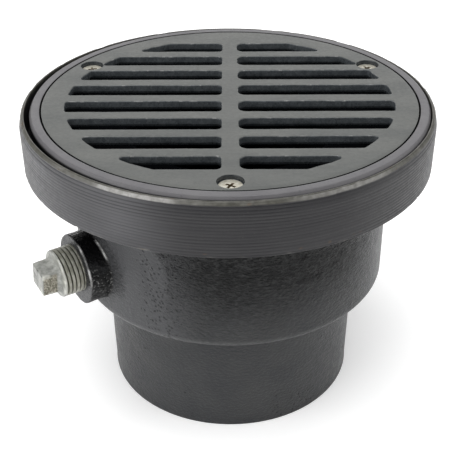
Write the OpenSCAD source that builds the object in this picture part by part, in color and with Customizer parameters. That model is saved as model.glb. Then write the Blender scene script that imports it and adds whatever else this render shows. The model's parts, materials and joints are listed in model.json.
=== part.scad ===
// Round cast-iron floor drain: a slotted grate in an adjustable strainer head, over a sump
// with a side tapping for a trap primer and a caulked bottom outlet.
// Millimetres, +Z up. The origin is the centre of the outlet's bottom rim.

/* [Outlet] */
// Outside radius at the outlet's bottom rim
outlet_r = 59.7; // [58.5:0.1:60.5]
// Growth of the outlet's outside radius towards the sump
outlet_draft = 0.9; // [0.4:0.1:1.6]
// Inside radius of the caulking socket
socket_r = 52; // [50:0.5:53.5]
// Depth of the caulking socket
socket_depth = 48; // [44:1:49]
// Radius of the waterway from the sump into the socket
waterway_r = 38; // [34:1:42]

/* [Sump] */
// Height of the sump's underside above the outlet rim
sump_z = 57.6; // [56:0.1:59]
// Outside radius of the sump
sump_r = 73.4; // [73:0.1:74]
// Thickness of the sump's side wall
sump_wall = 6.9; // [6:0.1:8]
// Thickness of the sump's floor
sump_floor = 6; // [5:0.5:7]
// Rounding of the sump's lower outside corner
sump_round = 3; // [2:0.5:5]
// Height of the sump's top face above the outlet rim
sump_top_z = 117.2; // [115:0.1:119]
// Thickness of the sump's top flange
flange_t = 12; // [11:0.5:13]
// Inside radius of the neck that holds the strainer head
neck_r = 50.8; // [50:0.1:51.5]
// Wall thickness of the neck below the flange
neck_wall = 7; // [5:0.5:8]
// Length of the neck, from the sump's top face down
neck_h = 18; // [15:0.5:20]

/* [Trap primer tapping] */
// Direction of the tapping seen from above, in degrees from +X
primer_angle = 212.75; // [205:0.25:220]
// Height of the tapping's axis above the outlet rim
primer_z = 80.4; // [78:0.1:83]
// Radius of the round boss
boss_r = 16.2; // [15:0.1:16.5]
// Distance of the boss's middle below the tapping's axis
boss_drop = 1; // [0:0.1:1.5]
// Distance of the boss's end face from the drain's axis
boss_reach = 81.8; // [80:0.1:84]

/* [Top collar] */
// Outside radius of the collar
collar_r = 92.7; // [92.4:0.1:94]
// Height of the collar
collar_h = 24; // [23.5:0.5:26]
// Inside radius of the collar's rim
collar_bore_r = 90.3; // [90:0.1:90.8]
// Sideways offset of the collar on its screws, along X
collar_shift = -0.9; // [-0.9:0.1:0]
// Thickness of the collar's web
collar_web_t = 7; // [6.5:0.1:7.2]
// Radius of the centre hole in the web
collar_hole_r = 56; // [55.5:0.1:57]
// Thickness of the gasket under the web
gasket_t = 1.5; // [1.5:0.1:1.8]
// Radius of the circle that the collar screws stand on
collar_screw_circle = 63; // [62.5:0.1:64]

/* [Strainer head] */
// Outside radius of the head's ring
head_r = 88.9; // [88.5:0.1:88.9]
// Height of the ring above the collar
head_rise = 0.7; // [0.4:0.1:1.5]
// Inside radius of the ring, around the grate
seat_r = 84.2; // [84:0.1:84.5]
// Rounding of the ring's outer edge
head_round = 2; // [1:0.25:2.5]
// Radius of the bore through the throat
throat_bore_r = 45; // [43:0.5:46]
// Height of the throat's bottom edge above the outlet rim
throat_z = 93.2; // [91.5:0.1:95]

/* [Grate] */
// Outside radius of the grate
grate_r = 83.7; // [83.4:0.1:83.7]
// Thickness of the grate's bars
bar_t = 4.4; // [4:0.1:5]
// Thickness of the grate's rim
rim_t = 7.7; // [7.5:0.1:7.8]
// Rows of slots across the grate
slot_rows = 8; // [4:2:8]
// Distance from one row of slots to the next
slot_pitch = 17.6; // [17:0.1:17.8]
// Width of a slot
slot_w = 10.8; // [8:0.1:12]
// Width of the rib along the middle of the grate
middle_rib = 7.5; // [5:0.5:10]
// Radius of the circle in which the slots end
slot_field_r = 73.4; // [71:0.1:74]
// Rounding of a slot's corners beside the middle rib
inner_round = 3.5; // [1:0.5:4]
// Rounding of a slot's corners at its outer end
tip_round = 2; // [1:0.2:2.6]

/* [Grate screws] */
// Radius of the circle that the grate screws stand on
grate_screw_circle = 76.8; // [76.5:0.1:77]
// Depth of the screw heads below the grate's top face
screw_sink = 1.9; // [1.5:0.1:2.2]
// Radius of the pocket around a screw head
screw_pocket_r = 5.3; // [5.2:0.1:5.5]

/* [Primer plug] */
// Radius over the plug's thread
plug_r = 10.9; // [10.6:0.1:11]
// Distance of the plug's shoulder from the drain's axis
plug_shoulder = 91.5; // [89.5:0.1:92]
// Length of the plug from its shoulder inwards
plug_l = 19; // [16:0.2:20]
// Width of the square head across its flats
square_flats = 11.4; // [10:0.1:12]
// Length of the square head
square_l = 8.2; // [7:0.1:10]
// Turn of the square head about the plug's axis
square_turn = -10; // [-45:1:45]

/* [Hidden] */

$fn = 160;
// Radial clearance of a fit that turns or slides
fit = 0.05;
// How far a cutting solid runs past the face that it opens
past = 1;
// Angles of the collar screws and of the grate screws, back or front first
collar_screw_angles = [90, 210, 330];
grate_screw_angles = [270, 150, 30];

// Colours of the castings, the gasket and the plated parts
casting = [0.24, 0.25, 0.26];
turned_casting = [0.33, 0.33, 0.35];
grate_paint = [0.42, 0.43, 0.43];
rubber = [0.08, 0.08, 0.08];
nickel = [0.72, 0.70, 0.66];
galvanised = [0.62, 0.62, 0.60];

// Heights worked out from the driving dimensions
floor_z = sump_z + sump_floor;
flange_z = sump_top_z - flange_t;
neck_z = sump_top_z - neck_h;
web_z = sump_top_z + gasket_t;
web_top_z = web_z + collar_web_t;
collar_top_z = sump_top_z + collar_h;
head_top_z = collar_top_z + head_rise;
seat_z = head_top_z - rim_t;
bar_z = head_top_z - bar_t;
sump_bore_r = sump_r - sump_wall;

// Strainer head: inner edge of the ledge under the grate, and the flat of the dish below it
ledge_r = 74.8;
dish_inner_r = 57.7;
dish_outer_r = 72;
dish_edge_r = 86;
dish_z = web_top_z + 1.5;

// Grate: its bars are thin inside thin_r, and its rim is thick outside thick_r
thin_r = slot_field_r - 6;
thick_r = slot_field_r - 2;

// Collar screws: quarter-inch, with a pan head in a counterbored hole
pan_shank_r = 3.1;
pan_shank_l = 16;
pan_head_r = 6.2;
pan_head_h = 3.6;
pan_pocket_r = 7.3;
pan_pocket_depth = 3;
pan_hole_r = 4.2;

// Grate screws: flat head with an 82 degree cone
flat_shank_r = 2.4;
flat_head_r = 4.85;
flat_edge = 0.3;
flat_cone_h = (flat_head_r - flat_shank_r) / tan(41);
flat_l = 12.7;
lug_r = 5;
lug_gap = 0.8;

// Points of a circular arc from angle a to angle b
function arc(c, r, a, b, n) = [for (i = [0:n]) c + r * [cos(a + (b - a) * i / n), sin(a + (b - a) * i / n)]];

// Rounds the corner p of an outline by radius r, between its neighbours a and b
function round_corner(a, p, b, r) =
    let (ua = (a - p) / norm(a - p), ub = (b - p) / norm(b - p),
        half = acos(ua * ub) / 2,
        mid = (ua + ub) / norm(ua + ub),
        c = p + mid * r / sin(half),
        foot_a = p + ua * r / tan(half),
        foot_b = p + ub * r / tan(half),
        from = atan2(foot_a.y - c.y, foot_a.x - c.x),
        to = atan2(foot_b.y - c.y, foot_b.x - c.x),
        turn = to - from > 180 ? to - from - 360 : to - from < -180 ? to - from + 360 : to - from)
    arc(c, r, from, from + turn, 6);

// Outline of the slot at height y on the +X side: straight long sides, ends as on the casting
function slot_outline(y) =
    let (low = abs(y) - slot_w / 2, high = abs(y) + slot_w / 2,
        inner = middle_rib / 2,
        mid = (low + high) / 2,
        corner_a = [inner, low],
        corner_b = [sqrt(slot_field_r * slot_field_r - low * low), low],
        middle = [sqrt(slot_field_r * slot_field_r - mid * mid), mid],
        corner_c = [sqrt(slot_field_r * slot_field_r - high * high), high],
        corner_d = [inner, high],
        half = concat(
            round_corner(corner_d, corner_a, corner_b, inner_round),
            round_corner(corner_a, corner_b, middle, tip_round),
            [middle],
            round_corner(middle, corner_c, corner_d, tip_round),
            round_corner(corner_c, corner_d, corner_a, inner_round)))
    [for (p = half) [p.x, y < 0 ? -p.y : p.y]];

// Places its children at distance r from the axis, at each of the given angles
module around(angles, r) {
    for (a = angles)
        rotate([0, 0, a])
            translate([r, 0, 0])
                children();
}

// Turns its children from +Z to the outward direction of the primer tapping
module along_primer() {
    translate([0, 0, primer_z])
        rotate([0, 0, primer_angle])
            rotate([0, 90, 0])
                children();
}

// A straight bore or shaft between two heights
module bore(r, z0, z1) {
    translate([0, 0, z0])
        cylinder(r = r, h = z1 - z0);
}

module body_solid() {
    rotate_extrude()
        union() {
            polygon([[0, 0], [outlet_r - 1, 0], [outlet_r, 1], [outlet_r + outlet_draft, sump_z],
                [sump_r - sump_round, sump_z], [sump_r - sump_round, sump_z + sump_round],
                [sump_r, sump_z + sump_round], [sump_r, sump_top_z], [0, sump_top_z]]);
            translate([sump_r - sump_round, sump_z + sump_round])
                circle(r = sump_round, $fn = 96);
        }
}

module primer_boss() {
    edge = 0.5;
    along_primer()
        translate([boss_drop, 0, 0]) {
            cylinder(r = boss_r, h = boss_reach - edge);
            translate([0, 0, boss_reach - edge])
                cylinder(r1 = boss_r, r2 = boss_r - edge, h = edge);
        }
}

module drain_body() {
    color(casting)
        difference() {
            union() {
                body_solid();
                primer_boss();
            }
            bore(socket_r, -past, socket_depth);
            bore(waterway_r, socket_depth - past, floor_z + past);
            rotate_extrude()
                polygon([[0, floor_z], [waterway_r, floor_z], [sump_bore_r - 8, floor_z + 2.5],
                    [sump_bore_r, floor_z + 8], [sump_bore_r, flange_z],
                    [neck_r + neck_wall, flange_z], [neck_r + neck_wall, neck_z], [0, neck_z]]);
            bore(neck_r, neck_z - past, sump_top_z + past);
            around(collar_screw_angles, collar_screw_circle)
                bore(pan_shank_r + fit, web_z - pan_shank_l, sump_top_z + past);
            along_primer()
                bore(plug_r + fit, sump_bore_r - 4, boss_reach + past);
        }
}

module collar_gasket() {
    color(rubber)
        difference() {
            bore(sump_r - 0.5, sump_top_z, web_z);
            bore(collar_hole_r + 1, sump_top_z - past, web_z + past);
            around(collar_screw_angles, collar_screw_circle)
                bore(pan_hole_r, sump_top_z - past, web_z + past);
        }
}

module top_collar() {
    skirt_bore = sump_r - collar_shift + 0.3;
    step_z = seat_z - 5.5;
    color(turned_casting)
        translate([collar_shift, 0, 0])
            difference() {
                rotate_extrude()
                    polygon([[collar_hole_r, web_z], [skirt_bore, web_z], [skirt_bore, sump_top_z],
                        [collar_r - 0.3, sump_top_z], [collar_r, sump_top_z + 0.3],
                        [collar_r, collar_top_z - 4.5], [collar_r - 0.7, collar_top_z - 1.3],
                        [collar_r - 1.4, collar_top_z - 0.3], [collar_r - 1.8, collar_top_z],
                        [collar_bore_r, collar_top_z],
                        [collar_bore_r, step_z], [collar_bore_r - 3.5, web_top_z],
                        [collar_hole_r, web_top_z]]);
                around(collar_screw_angles, collar_screw_circle)
                    bore(pan_hole_r, web_z - past, web_top_z + past);
                around(collar_screw_angles, collar_screw_circle)
                    bore(pan_pocket_r, web_top_z - pan_pocket_depth, web_top_z + past);
            }
}

// Crossed driving recess, cut downwards from z = 0
module cross_recess(width, slot, depth) {
    for (a = [0, 90])
        rotate([0, 0, a])
            translate([-width / 2, -slot / 2, -depth])
                cube([width, slot, depth + past]);
}

module collar_screw(angle) {
    head_z = web_top_z - pan_pocket_depth;
    tip_z = web_z - pan_shank_l + 0.5;
    color(nickel)
        rotate([0, 0, angle])
            translate([collar_screw_circle, 0, 0])
                difference() {
                    rotate_extrude()
                        polygon([[0, tip_z], [pan_shank_r - 0.6, tip_z],
                            [pan_shank_r, tip_z + 0.6], [pan_shank_r, head_z], [pan_head_r, head_z],
                            [pan_head_r, head_z + 1.9], [pan_head_r - 0.5, head_z + 2.8],
                            [pan_head_r - 1.9, head_z + pan_head_h], [0, head_z + pan_head_h]]);
                    translate([0, 0, head_z + pan_head_h])
                        cross_recess(6.4, 1.5, 2);
                }
}

module strainer_head() {
    throat_r = neck_r - fit;
    color(turned_casting)
        difference() {
            union() {
                rotate_extrude()
                    polygon(concat(
                        [[throat_bore_r, throat_z], [throat_r - 1, throat_z], [throat_r, throat_z + 1],
                            [throat_r, sump_top_z + 1.5], [throat_r + 1.2, web_top_z - 4],
                            [throat_r + 3, dish_z - 2.2], [dish_inner_r, dish_z],
                            [dish_outer_r, dish_z + 0.8], [dish_edge_r, dish_z + 1.8],
                            [head_r, seat_z - 3]],
                        arc([head_r - head_round, head_top_z - head_round], head_round, 0, 90, 8),
                        [[seat_r + 0.3, head_top_z], [seat_r, head_top_z - 0.3], [seat_r, seat_z],
                            [ledge_r, seat_z], [ledge_r - 0.8, seat_z - 1.4],
                            [throat_bore_r + 5, seat_z - 2.8],
                            [throat_bore_r + 1.5, seat_z - 4.6], [throat_bore_r, seat_z - 8]]));
                around(grate_screw_angles, grate_screw_circle)
                    bore(lug_r, web_top_z + lug_gap, seat_z - 2);
            }
            around(grate_screw_angles, grate_screw_circle)
                bore(flat_shank_r + fit, web_top_z, seat_z + past);
        }
}

module grate() {
    edge = 0.4;
    pocket_z = head_top_z - screw_sink - flat_edge;
    color(grate_paint)
        difference() {
            rotate_extrude()
                polygon([[0, bar_z], [thin_r, bar_z], [thick_r, seat_z],
                    [grate_r - 0.8, seat_z], [grate_r, seat_z + 0.8], [grate_r, head_top_z - edge],
                    [grate_r - edge, head_top_z], [0, head_top_z]]);
            for (row = [0:slot_rows - 1])
                for (side = [0, 1])
                    mirror([side, 0, 0])
                        translate([0, 0, seat_z - past])
                            linear_extrude(rim_t + 2 * past)
                                polygon(slot_outline((row - (slot_rows - 1) / 2) * slot_pitch));
            around(grate_screw_angles, grate_screw_circle) {
                bore(screw_pocket_r, pocket_z, head_top_z + past);
                translate([0, 0, pocket_z - flat_cone_h])
                    cylinder(r1 = flat_shank_r + 0.1, r2 = flat_head_r + 0.1, h = flat_cone_h);
                bore(flat_shank_r + 0.1, seat_z - past, pocket_z);
            }
        }
}

module grate_screw(angle) {
    top_z = head_top_z - screw_sink;
    tip_z = top_z - flat_l;
    color(nickel)
        rotate([0, 0, angle])
            translate([grate_screw_circle, 0, 0])
                difference() {
                    rotate_extrude()
                        polygon([[0, tip_z], [flat_shank_r - 0.5, tip_z],
                            [flat_shank_r, tip_z + 0.5],
                            [flat_shank_r, top_z - flat_edge - flat_cone_h],
                            [flat_head_r, top_z - flat_edge], [flat_head_r, top_z - 0.1],
                            [flat_head_r - 0.1, top_z], [0, top_z]]);
                    translate([0, 0, top_z])
                        cross_recess(5.2, 1.1, 1.8);
                }
}

module primer_plug() {
    pitch = 1.814;
    groove = 1.3;
    plain = 1.5;
    end_cone_h = 2;
    end_z = plug_shoulder + square_l;
    turns = floor((plug_l - plain - 0.5) / pitch);
    thread_end = plug_shoulder - plain;
    first = thread_end - turns * pitch;
    color(galvanised)
        along_primer() {
            rotate_extrude()
                polygon(concat(
                    [[0, plug_shoulder - plug_l], [plug_r - groove, plug_shoulder - plug_l],
                        [plug_r - groove, first]],
                    [for (i = [0:turns - 1])
                        for (p = [[plug_r, 0.42], [plug_r, 0.58], [plug_r - groove, 1]])
                            [p.x, first + (i + p.y) * pitch]],
                    [[plug_r, thread_end + 0.4], [plug_r, plug_shoulder - 0.9],
                        [plug_r - 0.4, plug_shoulder - 0.3], [plug_r - 1, plug_shoulder],
                        [0, plug_shoulder]]));
            intersection() {
                rotate([0, 0, square_turn])
                    translate([-square_flats / 2, -square_flats / 2, plug_shoulder - 0.5])
                        cube([square_flats, square_flats, square_l + 0.5]);
                union() {
                    bore(square_flats * 0.68, plug_shoulder - 0.5, end_z - end_cone_h);
                    translate([0, 0, end_z - end_cone_h])
                        cylinder(r1 = square_flats * 0.68, r2 = square_flats * 0.6, h = end_cone_h);
                }
            }
        }
}

drain_body();
collar_gasket();
top_collar();
collar_screw(collar_screw_angles[0]);  // collar_screw_back
collar_screw(collar_screw_angles[1]);  // collar_screw_left
collar_screw(collar_screw_angles[2]);  // collar_screw_right
strainer_head();
grate();
grate_screw(grate_screw_angles[0]);  // grate_screw_front
grate_screw(grate_screw_angles[1]);  // grate_screw_left
grate_screw(grate_screw_angles[2]);  // grate_screw_right
primer_plug();
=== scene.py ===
"""Looks of a round cast-iron floor drain with a slotted grate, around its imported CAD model.

Lengths in this script are millimetres, in the CAD model's frame; meshes are made in metres.
Places and main sizes come from the frame, and the named values below say the rest.
"""
import json
from itertools import pairwise, product
from math import acos, ceil, cos, hypot, pi, radians, sin, sqrt, tan

import bpy
import numpy as np
from mathutils import Matrix, Vector


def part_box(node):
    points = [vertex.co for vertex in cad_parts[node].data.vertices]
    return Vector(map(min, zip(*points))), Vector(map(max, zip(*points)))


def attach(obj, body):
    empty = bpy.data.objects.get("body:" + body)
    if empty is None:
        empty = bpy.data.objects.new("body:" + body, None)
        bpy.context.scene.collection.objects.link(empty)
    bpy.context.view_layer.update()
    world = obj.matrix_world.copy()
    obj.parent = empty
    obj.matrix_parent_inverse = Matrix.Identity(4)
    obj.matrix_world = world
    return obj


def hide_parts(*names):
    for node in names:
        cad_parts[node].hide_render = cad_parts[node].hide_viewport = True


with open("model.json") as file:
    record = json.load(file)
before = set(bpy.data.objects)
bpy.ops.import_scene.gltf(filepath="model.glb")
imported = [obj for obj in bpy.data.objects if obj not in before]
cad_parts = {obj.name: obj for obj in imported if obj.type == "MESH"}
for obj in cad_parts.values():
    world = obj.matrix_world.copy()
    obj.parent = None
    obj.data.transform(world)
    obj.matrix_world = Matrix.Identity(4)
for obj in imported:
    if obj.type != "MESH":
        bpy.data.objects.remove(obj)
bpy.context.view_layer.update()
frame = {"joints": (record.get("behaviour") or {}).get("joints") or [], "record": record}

MM = 0.001
TURN = 2 * pi
UP = np.array([0.0, 0.0, 1.0])


# ---- sizes from the frame

def box_mm(node):
    """Lowest and highest corner of a CAD node, in millimetres."""
    low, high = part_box(node)
    return low / MM, high / MM


def middle_mm(node):
    low, high = box_mm(node)
    return (low + high) / 2


def screws_mm(piece, sides):
    """Middles of the screws of one piece, by node name."""
    return {node: middle_mm(node) for node in (f"{piece}_screw_{side}" for side in sides)}


mounts = {mount["name"]: mount for mount in frame["record"]["mounts"]}
joints = {joint["name"]: joint for joint in frame["joints"]}

body_high = box_mm("drain_body")[1]
collar_low, collar_high = box_mm("top_collar")
head_low, head_high = box_mm("strainer_head")
grate_low, grate_high = box_mm("grate")

sump_r = body_high.x
sump_top = body_high.z
socket_r = mounts["outlet_socket"]["dims"]["r_mm"]
socket_depth = mounts["outlet_socket"]["dims"]["length_mm"]
collar_r = (collar_high.x - collar_low.x) / 2
collar_x = (collar_high.x + collar_low.x) / 2
collar_bottom, collar_top = collar_low.z, collar_high.z
head_r, head_top, throat_z = head_high.x, head_high.z, head_low.z
grate_r, grate_top, seat_z = grate_high.x, grate_high.z, grate_low.z
primer_z = middle_mm("primer_plug").z
primer_out = np.array(joints["plug_out"]["axis"], float)
primer_side = np.array([-primer_out[1], primer_out[0], 0.0])

GRATE_SCREWS = screws_mm("grate", ("front", "left", "right"))
COLLAR_SCREWS = screws_mm("collar", ("back", "left", "right"))

# ---- other sizes

# Outlet and sump
OUTLET_R, OUTLET_TOP_R = 59.7, 60.6
SUMP_Z = 57.6
SUMP_ROUND = 3.0
SUMP_BORE_R = 66.5
FLOOR_Z = SUMP_Z + 6
WATERWAY_R = 38.0
FLANGE_Z = sump_top - 12
NECK_R, NECK_OUTER_R, NECK_Z = 50.8, 57.8, sump_top - 18
BODY_SCREW_HOLE_R = 3.15
# Side tapping and its boss
BOSS_R = 16.2
BOSS_DROP = 1.0
BOSS_REACH = 81.8
BOSS_FILLET, BOSS_BEVEL = 0.7, 0.5
TAPPING_R = 10.95
# Collar
COLLAR_BORE_R = 90.3
COLLAR_HOLE_R = 56.0
WEB_Z = box_mm("collar_gasket")[1].z
WEB_TOP_Z = WEB_Z + 7
STEP_Z = seat_z - 5.5
SKIRT_BORE_R = 74.6
SCREW_SEAT_Z = WEB_TOP_Z - 3
WEB_SCREW_HOLE_R, WEB_SCREW_POCKET_R = 4.2, 7.3
GROOVE_PITCH, GROOVE_DEPTH = 1.42, 0.15
# Strainer head
SEAT_R = 84.2
SEAT_INNER_R = 74.8
THROAT_R, THROAT_BORE_R = 50.75, 45.0
THROAT_PITCH, THROAT_THREAD_DEPTH = 3.175, 1.5
DISH_Z = WEB_TOP_Z + 1.5
LUG_R, LUG_HOLE_R = 5.0, 2.45
# Grate
BAR_T = 4.4
SLOT_ROWS, SLOT_PITCH, SLOT_W = 8, 17.6, 10.8
MIDDLE_RIB = 7.5
SLOT_FIELD_R = 73.4
THIN_R, THICK_R = 67.4, 71.4
INNER_ROUND, TIP_ROUND = 3.5, 1.6
SLOT_EDGE = 0.55
POCKET_R = 5.3
SCREW_SINK = 1.9
# Plug
PLUG_R = 10.9
SHOULDER = 91.5
PLUG_FACE_R = 9.9
PLUG_L = 19.0
PLUG_PITCH, PLUG_THREAD_DEPTH = 1.88, 0.85
THREAD_START = 89.86
SQUARE_HALF, SQUARE_END_HALF = 5.85, 5.6
SQUARE_L = 8.2
SQUARE_TURN = radians(-10)
# World and floor
WORLD_COLOUR = (0.22, 0.22, 0.22)
FLOOR_COLOUR = (0.92, 0.92, 0.92)
FLOOR_GLOW = 0.25
# Camera, from the photo's angle
CAMERA_PLACE = (-0.65, -384.5, 313.7)
CAMERA_TARGET = (-0.65, 0, 72.3)
CAMERA_ROLL = radians(-0.22)
CAMERA_LENS, CAMERA_SENSOR = 73.08, 36.0


# ---- noise

def lattice(cells, seed):
    """A fixed value from 0 to 1 for each whole-numbered cell corner."""
    x, y, z = (cells[..., i].astype(np.uint64) for i in range(3))
    h = x * np.uint64(374761393) + y * np.uint64(668265263) + z * np.uint64(2246822519)
    h = (h + np.uint64(seed * 3266489917)) & np.uint64(0xFFFFFFFF)
    h = ((h ^ (h >> np.uint64(15))) * np.uint64(2654435761)) & np.uint64(0xFFFFFFFF)
    h = ((h ^ (h >> np.uint64(13))) * np.uint64(1274126177)) & np.uint64(0xFFFFFFFF)
    return ((h ^ (h >> np.uint64(16))) & np.uint64(0xFFFFFF)).astype(float) / 0xFFFFFF


def noise(points, size, seed=0):
    """Smooth noise from -1 to 1 at points (..., 3); size is its grain, one number or one per axis."""
    q = np.asarray(points, float) / size + 4096.0
    base = np.floor(q)
    f = q - base
    f = f * f * (3 - 2 * f)
    total = np.zeros(q.shape[:-1])
    for corner in product((0, 1), repeat=3):
        weight = np.ones(q.shape[:-1])
        for axis, end in enumerate(corner):
            weight = weight * (f[..., axis] if end else 1 - f[..., axis])
        total += weight * lattice(base + np.array(corner), seed)
    return total * 2 - 1


def fractal(points, size, octaves, seed=0):
    """Noise summed over octaves, each half the grain and 0.55 of the height of the one before."""
    total, height, sum_of_heights = 0.0, 1.0, 0.0
    for octave in range(octaves):
        total = total + height * noise(points, np.asarray(size) / 2 ** octave, seed + octave)
        sum_of_heights += height
        height *= 0.55
    return total / sum_of_heights


def ramp(low, high, x):
    """0 at low, 1 at high and smooth between them; low may be the higher number."""
    t = np.clip((np.asarray(x, float) - low) / (high - low), 0, 1)
    return t * t * (3 - 2 * t)


# ---- places on the drain

def polar(points, centre_x=0.0):
    """Radius, height and angle of points round an upright axis."""
    x, y = points[..., 0] - centre_x, points[..., 1]
    return np.hypot(x, y), points[..., 2], np.arctan2(y, x)


def sector(angle, middle, none, full):
    """0 at `none` degrees from a middle angle, 1 at `full` degrees from it; angle is in radians."""
    gap = np.abs((angle - radians(middle) + pi) % TURN - pi)
    return ramp(radians(none), radians(full), gap)


def near(value, target, none, full):
    """0 at a distance of `none` from a target value, 1 at `full`."""
    return ramp(none, full, np.abs(value - target))


def along_tapping(out, side, up):
    """Point at a distance out along the tapping's axis, with its offsets to the side and up."""
    out, side, up = (part[..., None] for part in np.broadcast_arrays(out, side, up))
    return out * primer_out + side * primer_side + up * UP + primer_z * UP


def from_tapping(points, drop=0.0):
    """Distance out along an axis `drop` below the tapping's, with the offsets to the side and up."""
    local = points - along_tapping(0.0, 0.0, -drop)
    return local @ primer_out, local @ primer_side, local[..., 2]


def pushed_in(points, depth, drop=0.0):
    """Points pushed by a depth towards that axis."""
    _, side, up = (part[..., None] for part in from_tapping(points, drop))
    return points - (side * primer_side + up * UP) * (depth[..., None] / np.hypot(side, up))


# ---- mesh building

def add_object(name, data):
    thing = bpy.data.objects.new(name, data)
    bpy.context.scene.collection.objects.link(thing)
    return thing


def make_piece(name, points, faces, sharp=38):
    """A smooth-shaded mesh object from points in millimetres; edges past the sharp angle stay sharp."""
    mesh = bpy.data.meshes.new(name)
    mesh.from_pydata((np.asarray(points, float) * MM).tolist(), [], faces)
    mesh.validate()
    piece = add_object(name, mesh)
    shade(piece, sharp)
    return piece


def shade(piece, sharp=38):
    piece.data.shade_smooth()
    piece.data.set_sharp_from_angle(angle=radians(sharp))


def unit(v):
    return v / max(float(np.linalg.norm(v)), 1e-12)


def rounded_path(corners):
    """Closed outline through corners (a, b, rounding, step). Each corner is rounded by its own radius,
    and the stretch after it has a point about every step."""
    arcs = []
    for i, (a, b, radius, _step) in enumerate(corners):
        here = np.array([a, b], float)
        back = unit(np.array(corners[i - 1][:2], float) - here)
        ahead = unit(np.array(corners[(i + 1) % len(corners)][:2], float) - here)
        if radius == 0:
            arcs.append([here])
            continue
        half = acos(max(-1.0, min(1.0, float(back @ ahead)))) / 2
        centre = here + unit(back + ahead) * radius / sin(half)
        start = here + back * radius / tan(half) - centre
        end = here + ahead * radius / tan(half) - centre
        sweep = pi - 2 * half
        pieces = max(3, ceil(sweep * radius / 0.5))
        arcs.append([centre + (sin(sweep * (1 - t)) * start + sin(sweep * t) * end) / sin(sweep)
                     for t in np.linspace(0, 1, pieces + 1)])
    path = []
    for i, arc in enumerate(arcs):
        path.extend(arc)
        after = arcs[(i + 1) % len(arcs)][0]
        gap = np.linalg.norm(after - arc[-1])
        cuts = max(1, round(gap / corners[i][3]))
        path.extend(arc[-1] + (after - arc[-1]) * t for t in np.linspace(0, 1, cuts + 1)[1:-1])
    return np.array(path)


def path_normals(path):
    """Normals on the right-hand side of a closed path."""
    along = np.roll(path, -1, 0) - np.roll(path, 1, 0)
    across = np.stack([along[:, 1], -along[:, 0]], 1)
    return across / np.maximum(np.linalg.norm(across, axis=1, keepdims=True), 1e-9)


def around_circle(columns):
    """Evenly spaced angles round a full turn."""
    return np.arange(columns) * TURN / columns


def circle(radius, z, at=(0.0, 0.0), columns=96):
    """Points round an upright circle; the radius is one number, or one per column."""
    angle = around_circle(columns)
    x, y = at[0] + radius * np.cos(angle), at[1] + radius * np.sin(angle)
    return np.stack([x, y, np.full(columns, z)], 1)


def revolved(path, columns, centre_x=0.0):
    """Points and normals (rows, columns, 3) of a closed path of (r, z) turned about the Z axis."""
    angle = around_circle(columns)
    flat = np.stack([np.cos(angle), np.sin(angle)], 1)

    def turn(rz, shift):
        xy = rz[:, None, 0:1] * flat[None]
        z = np.repeat(rz[:, None, 1:2], columns, 1)
        return np.concatenate([xy + np.array([shift, 0.0]), z], 2)

    return turn(path, centre_x), turn(path_normals(path), 0.0)


def grid_faces(rows, columns, wrap_rows=True):
    """Quads over a grid whose columns wrap round, and whose rows do too if asked."""
    row = np.arange(rows if wrap_rows else rows - 1)[:, None]
    column = np.arange(columns)[None]
    next_row, next_column = (row + 1) % rows, (column + 1) % columns
    quads = [row * columns + column, row * columns + next_column,
             next_row * columns + next_column, next_row * columns + column]
    return np.stack(np.broadcast_arrays(*quads), -1).reshape(-1, 4).tolist()


def lathe(name, path, columns, depth, centre_x=0.0):
    """A turned piece; depth(points, normals) says how far each point is pushed in along its normal."""
    points, normals = revolved(path, columns, centre_x)
    points = points - normals * depth(points, normals)[..., None]
    return make_piece(name, points.reshape(-1, 3), grid_faces(len(path), columns))


def stacked(name, rings, sharp=38):
    """A closed piece through rings (rows, columns, 3), ending in a fan at each end."""
    rings = np.array(rings)
    rows, columns = rings.shape[:2]
    points = np.concatenate([rings.reshape(-1, 3), rings[0].mean(0)[None], rings[-1].mean(0)[None]])
    faces = grid_faces(rows, columns, wrap_rows=False)
    low, high = rows * columns, rows * columns + 1
    last = (rows - 1) * columns
    for j in range(columns):
        k = (j + 1) % columns
        faces.append([k, j, low])
        faces.append([last + j, last + k, high])
    return make_piece(name, points, faces, sharp)


def rod(name, radius, low, high, at):
    """A plain upright cutting or joining cylinder."""
    return stacked(name, [circle(radius, z, at, columns=64) for z in (low, high)])


def apply_modifiers(piece):
    shown = piece.evaluated_get(bpy.context.evaluated_depsgraph_get())
    mesh = bpy.data.meshes.new_from_object(shown)
    old = piece.data
    piece.modifiers.clear()
    piece.data = mesh
    bpy.data.meshes.remove(old)


def combine(piece, others, operation, sharp=38):
    """Joins other pieces to a piece or cuts them out of it; the others are used up."""
    for other in others:
        modifier = piece.modifiers.new("combine", "BOOLEAN")
        modifier.operation = operation
        modifier.solver = "MANIFOLD"
        modifier.object = other
        apply_modifiers(piece)
        bpy.data.objects.remove(other)
    shade(piece, sharp)


def read_vectors(items, name):
    """One vector attribute of a mesh's vertices or faces, as an array (count, 3)."""
    flat = np.zeros(len(items) * 3)
    items.foreach_get(name, flat)
    return flat.reshape(-1, 3)


def points_of(piece):
    """A piece's points, in millimetres."""
    return read_vectors(piece.data.vertices, "co") / MM


def faces_of(piece):
    """Middles, in millimetres, and normals of a piece's faces."""
    return read_vectors(piece.data.polygons, "center") / MM, read_vectors(piece.data.polygons, "normal")


def paint_mask(piece, name, values, domain="POINT"):
    """Stores a value from 0 to 1 for the material to read; on faces it stops sharply at an edge."""
    mask = piece.data.attributes.new(name, "FLOAT", domain)
    mask.data.foreach_set("value", np.clip(values, 0, 1).astype(np.float32))


def thread_shape(turns):
    """Height from 0 at a thread's root to 1 at its crest, for a phase counted in turns."""
    return np.clip(1.25 - 2.6 * np.abs(turns % 1.0 - 0.5), 0, 1)


# ---- materials

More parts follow.
